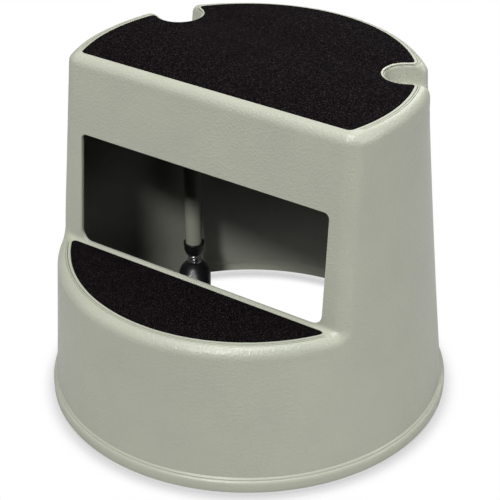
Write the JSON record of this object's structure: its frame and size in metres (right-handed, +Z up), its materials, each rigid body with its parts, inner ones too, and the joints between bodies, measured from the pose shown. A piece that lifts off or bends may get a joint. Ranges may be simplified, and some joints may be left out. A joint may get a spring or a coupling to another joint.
{
  "type": "kick step stool",
  "caption": "Round moulded two-step stool with an open riser, hand grips, non-slip mats and sprung swivel casters inside that sink when it is stood on.",
  "frame": {"origin": "floor level under the centre of the base flange, with the stool standing on its casters", "axes": "+Z up; the low step and the riser's window face -Y; +X is to the right of someone facing the step"},
  "size_m": [0.47, 0.4702, 0.4037],
  "materials": {
    "moulding": "grey-green moulded plastic with a fine pebble grain",
    "tread_mat": "black gritty non-slip tread",
    "post": "plain moulded tube",
    "black_plastic": "black, lightly polished",
    "spring_steel": "bright plated wire",
    "fastener_steel": "zinc plated",
    "wheel": "dark grey tread"
  },
  "bodies": {
    "drum": {"shell": "moulding", "upper_tread_mat": "tread_mat", "lower_tread_mat": "tread_mat", "left_rear_post": "post", "left_rear_post_screw": "fastener_steel", "left_rear_guide_cup": "black_plastic", "left_rear_spring": "spring_steel", "right_rear_post": "post", "right_rear_post_screw": "fastener_steel", "right_rear_guide_cup": "black_plastic", "right_rear_spring": "spring_steel", "front_post": "post", "front_post_screw": "fastener_steel", "front_guide_cup": "black_plastic", "front_spring": "spring_steel"},
    "left_rear_plunger": {"left_rear_stem": "fastener_steel", "left_rear_spring_seat": "fastener_steel", "left_rear_stem_clip": "fastener_steel"},
    "left_rear_swivel_fork": {"left_rear_hood": "black_plastic", "left_rear_axle": "fastener_steel"},
    "left_rear_left_roller": {"left_rear_left_wheel": "wheel"},
    "left_rear_right_roller": {"left_rear_right_wheel": "wheel"},
    "right_rear_plunger": {"right_rear_stem": "fastener_steel", "right_rear_spring_seat": "fastener_steel", "right_rear_stem_clip": "fastener_steel"},
    "right_rear_swivel_fork": {"right_rear_hood": "black_plastic", "right_rear_axle": "fastener_steel"},
    "right_rear_left_roller": {"right_rear_left_wheel": "wheel"},
    "right_rear_right_roller": {"right_rear_right_wheel": "wheel"},
    "front_plunger": {"front_stem": "fastener_steel", "front_spring_seat": "fastener_steel", "front_stem_clip": "fastener_steel"},
    "front_swivel_fork": {"front_hood": "black_plastic", "front_axle": "fastener_steel"},
    "front_left_roller": {"front_left_wheel": "wheel"},
    "front_right_roller": {"front_right_wheel": "wheel"}
  },
  "joints": [
    {"name": "left_rear_sink", "type": "slide", "parent": "drum", "child": "left_rear_plunger", "axis": [0, 0, 1], "range_m": [0, 0.006], "stiffness_N_per_m": 3000, "springref_m": -0.0085, "deforming": ["left_rear_spring"]},
    {"name": "left_rear_swivel", "type": "hinge", "parent": "left_rear_plunger", "child": "left_rear_swivel_fork", "pos_m": [-0.1505, 0.094, 0.05], "axis": [0, 0, 1], "continuous": true},
    {"name": "left_rear_left_roll", "type": "hinge", "parent": "left_rear_swivel_fork", "child": "left_rear_left_roller", "pos_m": [-0.14226, 0.08028, 0.018], "axis": [0.8572, 0.515, 0], "continuous": true},
    {"name": "left_rear_right_roll", "type": "hinge", "parent": "left_rear_swivel_fork", "child": "left_rear_right_roller", "pos_m": [-0.14226, 0.08028, 0.018], "axis": [0.8572, 0.515, 0], "continuous": true},
    {"name": "right_rear_sink", "type": "slide", "parent": "drum", "child": "right_rear_plunger", "axis": [0, 0, 1], "range_m": [0, 0.006], "stiffness_N_per_m": 3000, "springref_m": -0.0085, "deforming": ["right_rear_spring"]},
    {"name": "right_rear_swivel", "type": "hinge", "parent": "right_rear_plunger", "child": "right_rear_swivel_fork", "pos_m": [0.1505, 0.094, 0.05], "axis": [0, 0, 1], "continuous": true},
    {"name": "right_rear_left_roll", "type": "hinge", "parent": "right_rear_swivel_fork", "child": "right_rear_left_roller", "pos_m": [0.14132, 0.08089, 0.018], "axis": [0.8192, -0.5736, 0], "continuous": true},
    {"name": "right_rear_right_roll", "type": "hinge", "parent": "right_rear_swivel_fork", "child": "right_rear_right_roller", "pos_m": [0.14132, 0.08089, 0.018], "axis": [0.8192, -0.5736, 0], "continuous": true},
    {"name": "front_sink", "type": "slide", "parent": "drum", "child": "front_plunger", "axis": [0, 0, 1], "range_m": [0, 0.006], "stiffness_N_per_m": 3000, "springref_m": -0.0085, "deforming": ["front_spring"]},
    {"name": "front_swivel", "type": "hinge", "parent": "front_plunger", "child": "front_swivel_fork", "pos_m": [0, -0.177, 0.05], "axis": [0, 0, 1], "continuous": true},
    {"name": "front_left_roll", "type": "hinge", "parent": "front_swivel_fork", "child": "front_left_roller", "pos_m": [0.008, -0.16314, 0.018], "axis": [-0.866, 0.5, 0], "continuous": true},
    {"name": "front_right_roll", "type": "hinge", "parent": "front_swivel_fork", "child": "front_right_roller", "pos_m": [0.008, -0.16314, 0.018], "axis": [-0.866, 0.5, 0], "continuous": true}
  ]
}
